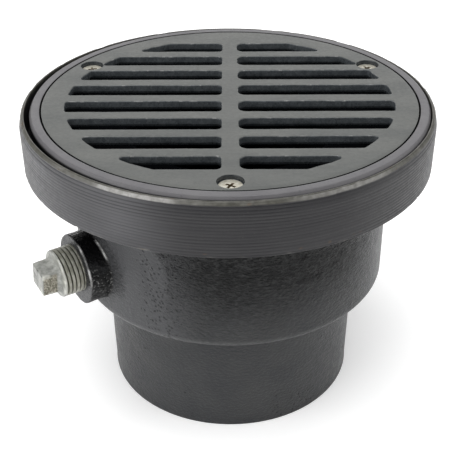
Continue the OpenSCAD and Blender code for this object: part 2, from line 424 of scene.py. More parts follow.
class Paint:
    """A node material with helpers for the few node kinds that this scene uses."""

    def __init__(self, name):
        self.material = bpy.data.materials.new(name)
        self.material.use_nodes = True
        self.nodes = self.material.node_tree.nodes
        self.links = self.material.node_tree.links
        self.shader = self.nodes["Principled BSDF"]
        self.place = self.nodes.new("ShaderNodeTexCoord").outputs["Object"]

    def feed(self, socket, value):
        """Puts a number, a colour or another node's output into a socket."""
        if isinstance(value, bpy.types.NodeSocket):
            self.links.new(value, socket)
        else:
            socket.default_value = (*value, 1) if isinstance(value, tuple) else value

    def stretched(self, scale):
        """Object coordinates scaled by a factor per axis."""
        mapping = self.nodes.new("ShaderNodeMapping")
        mapping.inputs["Scale"].default_value = scale
        self.links.new(self.place, mapping.inputs["Vector"])
        return mapping.outputs["Vector"]

    def grain(self, size, detail=3.0, place=None, rough=0.55):
        """Noise with a grain of the given size in millimetres."""
        node = self.nodes.new("ShaderNodeTexNoise")
        for name, value in (("Scale", 1 / (size * MM)), ("Detail", detail), ("Roughness", rough),
                            ("Vector", place or self.place)):
            self.feed(node.inputs[name], value)
        return node.outputs["Fac"]

    def cells(self, size, scale=(1.0, 1.0, 1.0)):
        """Distance to scattered points, for pits and specks."""
        node = self.nodes.new("ShaderNodeTexVoronoi")
        node.inputs["Scale"].default_value = 1 / (size * MM)
        self.links.new(self.stretched(scale), node.inputs["Vector"])
        return node.outputs["Distance"]

    def mask(self, name):
        """A mask stored on the mesh."""
        node = self.nodes.new("ShaderNodeAttribute")
        node.attribute_name = name
        return node.outputs["Fac"]

    def span(self, value, low, high, to_low=0.0, to_high=1.0):
        """Maps low..high of a value to to_low..to_high, clamped."""
        node = self.nodes.new("ShaderNodeMapRange")
        names = ("Value", "From Min", "From Max", "To Min", "To Max")
        for name, number in zip(names, (value, low, high, to_low, to_high)):
            self.feed(node.inputs[name], number)
        return node.outputs["Result"]

    def math(self, operation, a, b):
        node = self.nodes.new("ShaderNodeMath")
        node.operation = operation
        for socket, value in zip(node.inputs, (a, b)):
            self.feed(socket, value)
        return node.outputs[0]

    def times(self, name, amount):
        """A mask times an amount."""
        return self.math("MULTIPLY", self.mask(name), amount)

    def blend(self, factor, a, b):
        """Mixes two colours; each is an RGB tuple or a socket."""
        node = self.nodes.new("ShaderNodeMix")
        node.data_type = "RGBA"
        for socket, value in zip((node.inputs["Factor"], node.inputs[6], node.inputs[7]), (factor, a, b)):
            self.feed(socket, value)
        return node.outputs[2]

    def lay(self, colour, **layers):
        """Lays further colours over a colour, in order, each where the mask of its name says."""
        for name, above in layers.items():
            colour = self.blend(self.mask(name), colour, above)
        return colour

    def mottle(self, a, b, size, detail=3.0, low=0.35, high=0.65, most=1.0, **kind):
        """Colour that wanders from a to b with a grain; most is the largest share of b."""
        return self.blend(self.span(self.grain(size, detail, **kind), low, high, 0.0, most), a, b)

    def uneven(self, size, low, high, detail=3.0):
        """A value that wanders from low to high with a grain."""
        return self.span(self.grain(size, detail), 0.3, 0.7, low, high)

    def relief(self, height, depth, before=None):
        """Bump of the given depth in millimetres, on top of an earlier one."""
        node = self.nodes.new("ShaderNodeBump")
        node.inputs["Distance"].default_value = depth * MM
        self.links.new(height, node.inputs["Height"])
        if before is not None:
            self.links.new(before, node.inputs["Normal"])
        return node.outputs["Normal"]

    def finish(self, colour, roughness, normal=None, metallic=0.0, specular=0.5):
        """Feeds the shader and gives back the material."""
        for name, value in (("Base Color", colour), ("Roughness", roughness), ("Metallic", metallic),
                            ("Specular IOR Level", specular)):
            self.feed(self.shader.inputs[name], value)
        if normal is not None:
            self.links.new(normal, self.shader.inputs["Normal"])
        return self.material


def casting_paint():
    """Sump and outlet: sand-cast iron under glossy dark paint, blacker and rippled across the front. The
    masks also lay in painted shade, painted light, painted highlights and a painted floor reflection.
    """
    p = Paint("casting_paint")
    streaks = p.grain(1.6, 4, p.stretched((0.8, 0.8, 1.35)), 0.62)
    sand = p.grain(1.25, 3, p.stretched((0.8, 0.8, 1.2)), 0.6)
    clear_of_dents = p.math("ADD", p.span(p.mask("dented"), 0, 1, 0.38, 0), p.uneven(1.1, -0.08, 0.08))
    dent = p.span(p.math("ADD", p.cells(1.8, (1.0, 1.0, 0.9)), clear_of_dents), 0.18, 0.36, 1, 0)
    pinhole = p.span(p.cells(8.5), 0.04, 0.085, 1, 0)
    colour = p.mottle((0.027, 0.0285, 0.031), (0.038, 0.039, 0.040), 22, 4)
    colour = p.mottle(colour, (0.064, 0.064, 0.062), 1.3, low=0.52, high=0.75, most=0.3)
    # The black's lighter streaks follow the same noise as the ripple bump: painted highlights on the
    # ripples' crests.
    black = p.blend(p.span(streaks, 0.47, 0.62), (0.0006, 0.0008, 0.0011), (0.028, 0.029, 0.029))
    colour = p.lay(colour, black=black, gray=(0.052, 0.053, 0.056))
    colour = p.blend(p.math("MULTIPLY", dent, 0.65), colour, (0.005, 0.005, 0.006))
    colour = p.blend(pinhole, colour, (0.003, 0.003, 0.004))
    speckle = p.mottle((0.0006, 0.0006, 0.0008), (0.13, 0.13, 0.127), 1.2, 4, 0.555, 0.60, rough=0.7)
    # Boss marks: the speckles are partly a painted floor reflection, the near-black gloss is also painted
    # shadow, and the bright edges are partly painted highlights.
    colour = p.lay(colour, speckled=speckle, gloss=(0.0035, 0.0035, 0.004), edge=(0.55, 0.55, 0.54))
    rough = p.math("SUBTRACT", p.uneven(3.2, 0.32, 0.44), p.times("gloss", 0.14))
    normal = p.relief(p.math("MULTIPLY", p.span(sand, 0.2, 0.8, -0.5, 0.5), p.mask("rough")), 1.05)
    swirl = p.math("MULTIPLY", p.span(streaks, 0.2, 0.8, -0.5, 0.5), p.mask("black"))
    normal = p.relief(swirl, 1.5, normal)
    normal = p.relief(p.grain(0.9, 3, rough=0.6), 0.10, normal)
    normal = p.relief(p.math("ADD", dent, pinhole), -0.3, normal)
    return p.finish(colour, rough, normal, specular=0.22)


def collar_paint():
    """Collar: turned iron under thin paint, bronze along its rim where the paint has gone, with painted
    light on its front-left side and a painted highlight on its bore's top edge.
    """
    p = Paint("collar_paint")
    lines = p.grain(1.0, 2, p.stretched((0.02, 0.02, 1.0)))
    colour = p.mottle((0.023, 0.0225, 0.0245), (0.031, 0.0305, 0.032), 30, low=0.3, high=0.7)
    colour = p.blend(p.span(lines, 0.42, 0.6, 0, 0.45), colour, (0.015, 0.015, 0.017))
    # The pale colour on the front-left side is painted light.
    colour = p.lay(colour, pale=(0.098, 0.098, 0.104), groove=(0.010, 0.010, 0.012))
    colour = p.mottle(colour, (0.050, 0.047, 0.044), 0.9, low=0.62, high=0.76, most=0.5)
    olive = p.mottle((0.044, 0.043, 0.036), (0.076, 0.074, 0.064), 2.5, 4)
    wear = p.mottle((0.20, 0.195, 0.185), (0.31, 0.305, 0.295), 2.2)
    colour = p.lay(colour, olive=olive, wear=wear, rust=(0.075, 0.045, 0.028), chip=(0.18, 0.172, 0.155))
    normal = p.relief(p.grain(0.7, 3), 0.05, p.relief(lines, 0.10))
    return p.finish(colour, p.uneven(2.0, 0.34, 0.48), normal, specular=0.24)


def ring_paint():
    """Strainer head: smooth machined ring under satin paint, near black and without reflection down in its
    dish and on the seat's wall, as painted shade.
    """
    p = Paint("ring_paint")
    colour = p.mottle((0.108, 0.105, 0.111), (0.126, 0.123, 0.128), 18)
    colour = p.mottle(colour, (0.053, 0.053, 0.055), 1.1, low=0.60, high=0.78, most=0.5)
    # The near-black inside is painted shade; its roughness and metallic also take the reflection away
    # there.
    colour = p.lay(colour, inside=(0.004, 0.0045, 0.0055), scuff=(0.12, 0.118, 0.115))
    rough = p.math("ADD", p.uneven(2.5, 0.32, 0.44, detail=2), p.times("inside", 0.62))
    return p.finish(colour, rough, p.relief(p.grain(0.6, 3), 0.03), p.mask("inside"), 0.27)


def grate_paint():
    """Grate: satin gray paint on the ground top, thick glossy dark paint down in the slots, with painted
    shade deep down and painted glints along the slots' lips.
    """
    p = Paint("grate_paint")
    colour = p.mottle((0.073, 0.077, 0.074), (0.100, 0.103, 0.097), 14, 4, 0.32, 0.68,
                      place=p.stretched((0.4, 1.0, 1.0)))
    colour = p.mottle(colour, (0.050, 0.053, 0.052), 0.9, low=0.58, high=0.8, most=0.55)
    # Painted shade: near black low in the slots, in the screw pockets and in the gap by the ring.
    wall = p.lay(p.mottle((0.055, 0.062, 0.068), (0.078, 0.086, 0.092), 2.2), deep=(0.004, 0.005, 0.006))
    # The bright lips are painted glints.
    colour = p.lay(colour, wall=wall, edge=(0.22, 0.222, 0.22))
    rough = p.math("SUBTRACT", p.uneven(1.8, 0.36, 0.50), p.times("wall", 0.16))
    normal = p.relief(p.grain(0.8, 4), 0.05)
    normal = p.relief(p.grain(3.0, 2, p.stretched((0.5, 1.0, 1.0))), 0.10, normal)
    return p.finish(colour, rough, normal, specular=0.4)


def nickel_plate():
    """Grate and collar screws: bright plating with brown dirt down in the recess."""
    p = Paint("nickel_plate")
    colour = p.mottle((0.46, 0.43, 0.35), (0.66, 0.64, 0.56), 1.4, 4)
    colour = p.lay(colour, dirt=(0.075, 0.053, 0.026))
    metal = p.math("SUBTRACT", 0.6, p.times("dirt", 0.55))
    return p.finish(colour, p.uneven(0.8, 0.30, 0.46), p.relief(p.grain(0.5, 3), 0.02), metal)


def galvanised():
    """Primer plug: pale mottled zinc, brown grime on one flat, dark olive down in the thread's roots, and a
    painted highlight on the shoulder's rim.
    """
    p = Paint("galvanised")
    colour = p.mottle((0.21, 0.215, 0.20), (0.35, 0.355, 0.33), 2.6, 4, 0.38, 0.62)
    colour = p.mottle(colour, (0.15, 0.148, 0.13), 0.8, low=0.56, high=0.72, most=0.55)
    dull = p.mottle((0.07, 0.072, 0.067), (0.21, 0.213, 0.198), 1.8, 4, 0.40, 0.58)
    grime = p.mottle((0.080, 0.073, 0.047), (0.33, 0.31, 0.25), 0.9, 4, 0.42, 0.60, rough=0.7)
    # The edge colour is wear, and a painted highlight on the shoulder's rim.
    colour = p.lay(colour, dull=dull, thread=(0.26, 0.255, 0.21), grime=grime,
                   root=(0.034, 0.032, 0.020), edge=(0.54, 0.54, 0.49))
    normal = p.relief(p.grain(0.6, 4, rough=0.65), 0.09)
    return p.finish(colour, p.uneven(1.4, 0.34, 0.52), normal, 0.3)


def sheet_rubber():
    """Gasket: black sheet rubber with a fine calendered grain."""
    p = Paint("sheet_rubber")
    colour = p.mottle((0.012, 0.012, 0.012), (0.024, 0.023, 0.022), 6, low=0.3, high=0.7)
    return p.finish(colour, p.uneven(1.0, 0.62, 0.8), p.relief(p.grain(0.5, 2), 0.03))


def dress(piece, body, node, material):
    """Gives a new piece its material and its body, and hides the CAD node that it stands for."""
    piece.data.materials.clear()
    piece.data.materials.append(material)
    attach(piece, body)
    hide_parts(node)


# ---- sump, outlet and tapping

def tapping_boss():
    """Round cast boss, a little below the tapping's axis, that grows out of the sump's wall."""
    angle = around_circle(240)
    rows = []

    def ring(out, radius):
        rows.append(along_tapping(out, radius * np.cos(angle), radius * np.sin(angle) - BOSS_DROP))

    bevel_out = BOSS_REACH - BOSS_BEVEL
    for t in np.linspace(-0.6, 1.0, 40):
        wall = np.sqrt(sump_r ** 2 - (BOSS_R * np.cos(angle)) ** 2)
        out = wall + t * (bevel_out - wall)
        close = np.clip(1 - (out - wall) / BOSS_FILLET, 0, 1)
        ring(out, BOSS_R + BOSS_FILLET * (1 - np.sqrt(1 - close ** 2)))
    for inset in (0.06, 0.2, BOSS_BEVEL):
        ring(bevel_out + sqrt(BOSS_BEVEL ** 2 - (BOSS_BEVEL - inset) ** 2), BOSS_R - inset)
    for inset in (1.5, 3.0, 4.5):
        ring(BOSS_REACH, BOSS_R - inset)
    rings = np.array(rows)
    rough = 0.15 * fractal(rings, 2.4, 2, seed=31) + 0.14 * noise(rings, 6, seed=35)
    return stacked("tapping_boss", pushed_in(rings, 0.12 + rough, BOSS_DROP))


def black_patch(points):
    """Where the casting is rough and black, from 0 to 1: across the front, darkest right under the collar
    as painted shade of the collar, and in patches elsewhere.
    """
    _, z, angle = polar(points)
    left = radians(246) - radians(10) * ramp(sump_top - 22, sump_top - 4, z)
    left_stop = ramp(left, left + radians(4), angle % TURN + 0.05 * noise(points, 9, seed=12))
    # Painted shadow of the collar: the front's black grows towards the collar above it.
    collar_shade = ramp(SUMP_Z + 3, sump_top - 14, z + 6 * noise(points, 16, seed=14))
    on_front = sector(angle, 281, 58, 22) * left_stop * (0.2 + 0.9 * collar_shade)
    patches = ramp(0.05, 0.6, fractal(points, (38, 38, 24), 4, seed=11))
    return np.clip(on_front + 0.8 * patches * sector(angle, 270, 70, 100), 0, 1)


def dented_region(points):
    """Where the sump's skin is dented, from 0 to 1: left of the black patch, and here and there."""
    scattered = ramp(0.35, 0.7, noise(points, (40, 40, 26), seed=15))
    return np.clip(sector(polar(points)[2], 246, 13, 5) + 0.8 * scattered, 0, 1)


def sump_depth(points, _normals):
    """How far the casting's skin lies inside its drawn surface."""
    r, z, _ = polar(points)
    sump = ramp(SUMP_Z - 2, SUMP_Z + 2, z) * ramp(OUTLET_TOP_R + 4, sump_r - 4, r)
    outside = np.where(z < SUMP_Z + 1, 1.0, ramp(SUMP_BORE_R - 3, SUMP_BORE_R + 4, r))
    rough_patch = black_patch(points)
    sand = 0.20 * fractal(points, (3.2, 3.2, 2.4), 2, seed=3)
    ripple = 0.38 * fractal(points, (6.0, 6.0, 2.8), 2, seed=5)
    wave = 0.096 * noise(points, 17, seed=7)
    strength = sump * (0.25 + 0.85 * rough_patch) + (1 - sump) * 0.18
    depth = 0.2 + wave + strength * (sand + ripple * rough_patch)
    dents = outside * sump * dented_region(points)
    depth = depth + 0.30 * dents * ramp(0.35, 0.7, noise(points, (3.2, 3.2, 4.2), seed=13))
    machined = (z < 0.6) | (z > sump_top - 0.6) | (r < NECK_R + 0.5)
    return np.where(machined, 0.0, np.clip(depth, 0, 1.4))


def paint_drain_body(body):
    """Masks of the sump, the outlet and the tapping's boss."""
    points = points_of(body)
    r, z, angle = polar(points)
    ragged = ramp(-0.5, 0.6, fractal(points, 2.2, 2, seed=41))
    blotch = ramp(-0.2, 0.3, fractal(points, 3.0, 2, seed=43))
    on_sump = ramp(SUMP_Z - 0.5, SUMP_Z + 2, z)
    sump_wall = r > sump_r - 3
    on_outlet = (1 - on_sump) * (r > OUTLET_R - 2)
    patch = black_patch(points)

    # Places on the boss: distance out, degrees round it, and distance from its middle
    out, side, up = from_tapping(points, BOSS_DROP)
    around, from_middle = np.degrees(np.arctan2(up, side)), np.hypot(up, side)
    wall_out = np.sqrt(np.maximum(sump_r ** 2 - side ** 2, 0))
    on_boss = (out > wall_out - 0.1) & (from_middle < BOSS_R + 0.75) & (r > sump_r - 0.6)
    face = on_boss & (out > BOSS_REACH - 0.25)
    flank = on_boss & ~face

    # Painted highlights along the boss's two edges, also where the paint is worn there, and a faint painted
    # highlight along the sump's foot
    front_wear_and_highlight = ramp(-20, 28, around) * ramp(75, 64, around) * (from_middle > BOSS_R - 0.9)
    front_edge = on_boss * near(out, BOSS_REACH - 0.3, 0.45, 0.12) * front_wear_and_highlight
    rear_highlight = ramp(26, 42, around) * (around < 72) * (np.abs(from_middle - BOSS_R - 0.4) < 0.9)
    rear_edge = near(out, wall_out + 0.4, 0.6, 0.15) * rear_highlight
    foot = near(z, SUMP_Z + 1.0, 3.0, 1.2) * (r > sump_r - 3.5)
    paint_mask(body, "edge", front_edge * (0.2 + 0.8 * ragged) + rear_edge * (0.1 + 0.9 * ragged)
               + 0.07 * foot * (0.5 + 0.5 * ragged))

    # Painted shade: the sump beside the boss, and the inside of the outlet and sump, are laid in black.
    boss_shadow = ramp(BOSS_R + 9, BOSS_R + 5, from_middle) * (out > 0) * ramp(-14, -2, up)
    interior = (r < OUTLET_R - 3) | ((r < SUMP_BORE_R + 1.5) & (z > SUMP_Z + 1))
    black = np.maximum(np.where(interior, 1.0, patch * (0.10 + 0.90 * on_sump)), 0.85 * boss_shadow)
    paint_mask(body, "black", black * ~on_boss)
    sandy = 0.05 + 0.36 * on_outlet + on_sump * (0.16 + 0.84 * patch)
    paint_mask(body, "rough", np.where(on_boss, 0.35, sandy))
    pitted = ramp(26, 10, z) * sector(angle, 299, 20, 8)
    dented = on_sump * dented_region(points) * sump_wall + on_outlet * np.maximum(pitted, 0.5 * ragged)
    paint_mask(body, "dented", dented * ~on_boss)
    # Painted light and shade on the boss's end face: gray on its lower and left parts, near black on the
    # rest as painted shadow of the plug.
    gray_side = ramp(-3, -8, side) * (0.4 + 0.6 * blotch)
    gray_face = np.maximum(ramp(-3, -9, up - 0.35 * side), gray_side)
    # Painted light: the sump's front-left side, where the left lamp falls, is laid in a lighter gray.
    thin = sector(angle, 236, 26, 10) * sump_wall
    paint_mask(body, "gray", 0.3 * face * gray_face + 0.9 * thin * on_sump * ~on_boss)
    # Boss flank: the upper part is near black as painted shadow of the collar, with glossier paint; the
    # lower part has bright speckles, partly a painted reflection of the floor.
    glossy = ramp(18, 38, around + 20.05 * fractal(points, 5.0, 2, seed=45))
    paint_mask(body, "speckled", flank * (1 - glossy))
    paint_mask(body, "gloss", flank * glossy + 0.6 * face * (1 - gray_face))


def make_drain_body():
    coarse, fine = 5.0, 1.05
    path = rounded_path([
        (socket_r, 0, 0.8, 2), (OUTLET_R, 0, 0.4, 1.9), (OUTLET_TOP_R, SUMP_Z, 1.5, 1.6),
        (sump_r, SUMP_Z, SUMP_ROUND, fine), (sump_r, sump_top, 0.5, coarse), (NECK_R, sump_top, 0.8, 2.0),
        (NECK_R, NECK_Z, 0.6, coarse), (NECK_OUTER_R, NECK_Z, 1.5, coarse),
        (NECK_OUTER_R, FLANGE_Z, 1.2, coarse), (SUMP_BORE_R, FLANGE_Z, 2.5, coarse),
        (SUMP_BORE_R, FLOOR_Z + 8, 3, coarse), (SUMP_BORE_R - 8, FLOOR_Z + 2.5, 4, coarse),
        (WATERWAY_R, FLOOR_Z, 1.5, coarse), (WATERWAY_R, socket_depth, 1.2, coarse),
        (socket_r, socket_depth, 1.5, coarse)])
    body = lathe("drain_casting", path, 420, sump_depth)
    combine(body, [tapping_boss()], "UNION")
    angle = around_circle(96)
    cuts = [stacked("hole", [along_tapping(out, TAPPING_R * np.cos(angle), TAPPING_R * np.sin(angle))
                             for out in (SUMP_BORE_R - 6, BOSS_REACH + 2)])]
    for at in COLLAR_SCREWS.values():
        cuts.append(rod("hole", BODY_SCREW_HOLE_R, WEB_Z - 16, sump_top + 1, at))
    combine(body, cuts, "DIFFERENCE", sharp=32)
    paint_drain_body(body)
    dress(body, "body", "drain_body", casting_paint())


# ---- collar

def turning_grooves(points):
    """Fine turning grooves that wander and fade round the collar."""
    _, z, angle = polar(points, collar_x)
    turns = z / GROOVE_PITCH + 0.5 * noise(points, (60, 60, 9), seed=51) + angle / TURN
    fade = 0.45 + 0.55 * ramp(-0.5, 0.3, noise(points, (45, 45, 5), seed=53))
    return (0.5 + 0.5 * np.cos(TURN * turns)) ** 4 * fade


def collar_depth(points, _normals):
    """Turning grooves on the collar's side, nibbles along its foot and dents along its rim."""
    r, z, _ = polar(points, collar_x)
    side = (r > collar_r - 0.75) & (z > collar_bottom + 0.2)
    grooves = GROOVE_DEPTH * turning_grooves(points) * side
    skin = 0.02 + 0.02 * fractal(points, 3.0, 2, seed=55)
    bottom_edge = ramp(1.2, 0.2, z - collar_bottom) * (r > collar_r - 2)
    nibbles = 0.4 * bottom_edge * ramp(0.2, 0.8, fractal(points, (3.4, 3.4, 2.0), 2, seed=57))
    top_edge = ramp(2.6, 0.5, collar_top - z) * (r > collar_r - 2.2)
    dents = 0.3 * top_edge * ramp(0.0, 0.7, fractal(points, (7, 7, 3), 2, seed=59))
    inside = 0.12 * (r < COLLAR_BORE_R + 0.1) * fractal(points, 3, 2, seed=61)
    return np.clip(side * skin + grooves + nibbles + dents + inside, 0, 1)


def paint_top_collar(collar):
    """Masks of the collar's grooves, of the painted light on its front-left side, and of the worn, scraped
    and rusty places on its rim and foot, with a painted highlight along the bore's top edge.
    """
    points = points_of(collar)
    r, z, angle = polar(points, collar_x)
    side, drop = r > collar_r - 1.0, collar_top - z
    low_fade = 0.4 + 0.6 * ramp(collar_bottom + 5, collar_bottom + 15, z)
    paint_mask(collar, "groove", 0.8 * turning_grooves(points) * low_fade * side * (drop > 1.9))
    # Painted light: the front-left side of the collar is made paler, where the lamp falls on it.
    pale = 0.75 + 0.25 * noise(points, (20, 20, 9), seed=71)
    paint_mask(collar, "pale", 0.75 * sector(angle, 229, 34, 12) * side * pale)

    rim = (r > COLLAR_BORE_R - 0.2) & (drop < 2.6)
    ragged = fractal(points, (4, 4, 1.6), 3, seed=63)
    band = rim * ramp(1.6, 1.2, drop + 0.15 * ragged)
    paint_mask(collar, "olive", band)
    places = sector(angle, 247, 13, 6) + 0.2 * sector(angle, 240, 28, 16) + 0.5 * sector(angle, 300, 19, 8)
    scraped = rim * ramp(0.15, 0.35, drop) * ramp(1.9, 1.3, drop + 0.14 * ragged)
    faint = rim * ramp(0.25, 0.55, ragged) * ramp(1.2, 0.8, drop)
    # Painted highlight: a thin bright line along the bore's top edge, laid in with the wear.
    inner_highlight = (drop < 0.25) * (r > COLLAR_BORE_R - 0.1) \
        * ramp(COLLAR_BORE_R + 0.5, COLLAR_BORE_R + 0.1, r)
    paint_mask(collar, "wear", scraped * places + 0.16 * faint + 0.25 * inner_highlight)

    rusty = ramp(0.70, 0.85, noise(points, (2.4, 2.4, 1.4), seed=67))
    low_rust = side * near(z, collar_bottom + 1.0, 2.0, 0.6)
    paint_mask(collar, "rust", 0.6 * rusty * (band + low_rust))
    chips = ramp(0.1, 0.6, fractal(points, (4, 4, 2), 3, seed=69))
    paint_mask(collar, "chip", 0.6 * side * near(z, collar_bottom + 0.3, 0.9, 0.25) * chips)


def make_top_collar():
    path = rounded_path([
        (collar_r - 0.3, collar_bottom, 0.1, 0.3), (collar_r, collar_bottom + 0.3, 0.1, 0.24),
        (collar_r, collar_top - 4.5, 3.0, 0.24), (collar_r - 0.7, collar_top - 1.3, 0.8, 0.22),
        (collar_r - 1.4, collar_top - 0.3, 0.3, 0.2), (collar_r - 1.8, collar_top, 0.15, 0.3),
        (COLLAR_BORE_R, collar_top, 0.25, 0.9), (COLLAR_BORE_R, STEP_Z, 1.0, 1.6),
        (COLLAR_BORE_R - 3.5, WEB_TOP_Z, 2.0, 4), (COLLAR_HOLE_R, WEB_TOP_Z, 0.6, 2),
        (COLLAR_HOLE_R, WEB_Z, 0.4, 4), (SKIRT_BORE_R, WEB_Z, 0.3, 0.8),
        (SKIRT_BORE_R, collar_bottom, 0.3, 3)])
    collar = lathe("top_collar_ring", path, 520, collar_depth, collar_x)
    cuts = []
    for screw in COLLAR_SCREWS.values():
        at = (screw.x + collar_x, screw.y)
        cuts.append(rod("hole", WEB_SCREW_HOLE_R, WEB_Z - 1, WEB_TOP_Z + 1, at))
        cuts.append(rod("hole", WEB_SCREW_POCKET_R, SCREW_SEAT_Z, WEB_TOP_Z + 1, at))
    combine(collar, cuts, "DIFFERENCE", sharp=50)
    paint_top_collar(collar)
    dress(collar, "body", "top_collar", collar_paint())


# ---- strainer head

def head_depth(points, normals):
    """Skin of the head: nearly smooth on the ring, cast inside, threaded round the throat."""
    r, z, angle = polar(points)
    ring = (r > SEAT_R - 0.5) & (z > seat_z + 0.5)
    skin = np.where(ring, 0.02 + 0.02 * noise(points, 4, seed=71),
                    0.12 + 0.12 * fractal(points, 3.2, 3, seed=73))
    faces_out = normals[..., 0] * points[..., 0] + normals[..., 1] * points[..., 1] > 0
    threaded = faces_out & (np.abs(r - THROAT_R) < 0.4) & (z < sump_top + 1)
    ends = ramp(throat_z + 0.5, throat_z + 2, z) * ramp(sump_top + 1, sump_top - 1, z)
    thread = THROAT_THREAD_DEPTH * ends * (1 - thread_shape(z / THROAT_PITCH - angle / TURN))
    seat = (np.abs(z - seat_z) < 0.3) & (r > SEAT_INNER_R - 0.5)
    return np.where(threaded, thread, np.where(seat, 0.0, np.clip(skin, 0, 0.6)))


def make_strainer_head():
    path = rounded_path([
        (THROAT_BORE_R, throat_z, 0.8, 2), (THROAT_R, throat_z, 0.6, 0.5),
        (THROAT_R, sump_top + 1.5, 0.8, 2),
        (THROAT_R + 1.2, WEB_TOP_Z - 4, 1, 2), (THROAT_R + 3, DISH_Z - 2.2, 1, 1.5),
        (THROAT_R + 7, DISH_Z, 2, 3), (72, DISH_Z + 0.8, 4, 3), (86, DISH_Z + 1.8, 1.0, 1.5),
        (head_r, seat_z - 3, 0.8, 1.2), (head_r, head_top - 1.5, 0.8, 0.3),
        (head_r - 1.0, head_top, 0.5, 0.8),
        (SEAT_R, head_top, 0.45, 1.0), (SEAT_R, seat_z, 0.3, 1.2), (SEAT_INNER_R, seat_z, 0.5, 1.0),
        (SEAT_INNER_R - 0.8, seat_z - 1.4, 0.6, 2.5), (THROAT_BORE_R + 5, seat_z - 2.8, 4, 1.5),
        (THROAT_BORE_R, seat_z - 7, 4, 2.5)])
    head = lathe("strainer_ring", path, 480, head_depth)
    lugs = [rod("lug", LUG_R, WEB_TOP_Z + 0.8, seat_z - 2, at) for at in GRATE_SCREWS.values()]
    holes = [rod("hole", LUG_HOLE_R, WEB_TOP_Z, seat_z + 1, at) for at in GRATE_SCREWS.values()]
    combine(head, lugs, "UNION")
    combine(head, holes, "DIFFERENCE", sharp=34)
    points = points_of(head)
    r, z, _ = polar(points)
    # Painted shade: the seat's wall by the grate and all below the ring's top are darkened.
    paint_mask(head, "inside", np.where(r < SEAT_R + 0.3, ramp(head_top - 0.04, head_top - 0.18, z),
                                        ramp(head_top - 0.9, head_top - 2.6, z)))
    ring_edge = near(r, SEAT_R + 0.2, 0.5, 0.1) * (z > head_top - 0.6)
    ragged = ramp(0.1, 0.6, fractal(points, (2.5, 2.5, 2.5), 2, seed=79))
    paint_mask(head, "scuff", 0.5 * ring_edge * ragged)
    dress(head, "strainer_head", "strainer_head", ring_paint())


# ---- grate

def slot_outline(y, inner_round):
    """Outline of the slot at height y on the +X side, with its outer end along the slot field's circle."""
    low, high = abs(y) - SLOT_W / 2, abs(y) + SLOT_W / 2
    inner, step = MIDDLE_RIB / 2, 0.8

    def tip(height):
        return sqrt(SLOT_FIELD_R ** 2 - height ** 2)

    outline = rounded_path([
        (inner, low, inner_round, step), (tip(low), low, TIP_ROUND, step), (tip(abs(y)), abs(y), 0, step),
        (tip(high), high, TIP_ROUND, step), (inner, high, inner_round, step)])
    return outline if y > 0 else (outline * [1, -1])[::-1]


def slot_cutter(y, side):
    """Solid that cuts one slot: rough drafted walls, flaring at the top into a rounded edge."""
    outline = slot_outline(y, INNER_ROUND if side > 0 else INNER_ROUND * 0.65)
    if side < 0:
        outline = (outline * [-1, 1])[::-1]
    outward = path_normals(outline)
    levels = [(z, 0.02 * (grate_top - z) ** 1.5)
              for z in np.linspace(seat_z - 1, grate_top - SLOT_EDGE, 11)]
    for slope in np.radians([0, 20, 40, 58, 72]):
        levels.append((grate_top - SLOT_EDGE * (1 - sin(slope)), SLOT_EDGE * (1 - cos(slope))))
    last_z, last_grow = levels[-1]
    levels.append((last_z + 0.4, last_grow + 0.4 * tan(radians(72))))
    rings = []
    for z, grow in levels:
        ring = np.concatenate([outline + outward * grow, np.full((len(outline), 1), z)], 1)
        fine_rough = 0.13 * fractal(ring, (2.6, 2.6, 2.2), 2, seed=83)
        fine_rough = fine_rough + 0.12 * noise(ring, (5, 5, 3), seed=85)
        deep = min(1.0, 0.45 + (grate_top - z) / 2)
        rough = 0.16 * noise(ring, (9, 9, 9), seed=81) + deep * fine_rough
        rings.append(ring + np.pad(outward * rough[:, None], ((0, 0), (0, 1))))
    return stacked("slot", rings)


def screw_cutter(at):
    """Solid that cuts a grate screw's pocket, cone and hole."""
    pocket_z = grate_top - SCREW_SINK - 0.3
    profile = [(2.5, seat_z - 1), (2.5, pocket_z - 2.8), (4.95, pocket_z), (POCKET_R, pocket_z + 0.15),
               (POCKET_R, grate_top - 0.35), (POCKET_R + 0.1, grate_top - 0.12),
               (POCKET_R + 0.6, grate_top + 0.4)]
    rings = []
    for radius, z in profile:
        wobble = 0.10 * noise(circle(radius, z, at), (4, 4, 4), seed=87) * (radius > 5)
        rings.append(circle(radius + wobble, z, at))
    return stacked("pocket", rings)


def paint_grate(grate):
    """Masks of the slots' walls, of the painted shade in the deep places, and of the painted glints along
    the lips.
    """
    centres, facing = faces_of(grate)
    r, z, _ = polar(centres)
    top = (facing[:, 2] > 0.93) & (z > grate_top - 0.3)
    paint_mask(grate, "wall", ~top & (z < grate_top - 0.20), "FACE")
    in_gap = (r > grate_r - 0.5) & (z < grate_top - 0.22)
    in_pocket = np.zeros(len(z), bool)
    for at in GRATE_SCREWS.values():
        in_pocket |= np.hypot(centres[:, 0] - at.x, centres[:, 1] - at.y) < POCKET_R + 0.4
    # Painted shade: darker low in the slots, in the gap by the ring and in the screw pockets.
    deep = ramp(grate_top - 2.4, grate_top - 3.9, z)
    paint_mask(grate, "deep", np.maximum(deep, np.where(in_gap, 1.0, 0.55 * in_pocket)), "FACE")
    # Painted glints along the slots' top lips.
    ragged = ramp(0.1, 0.6, fractal(centres, (1.7, 1.7, 1.7), 2, seed=93))
    lip = (z > grate_top - SLOT_EDGE) & ~top & (r < SLOT_FIELD_R + 0.5)
    paint_mask(grate, "edge", 0.6 * lip * ragged, "FACE")


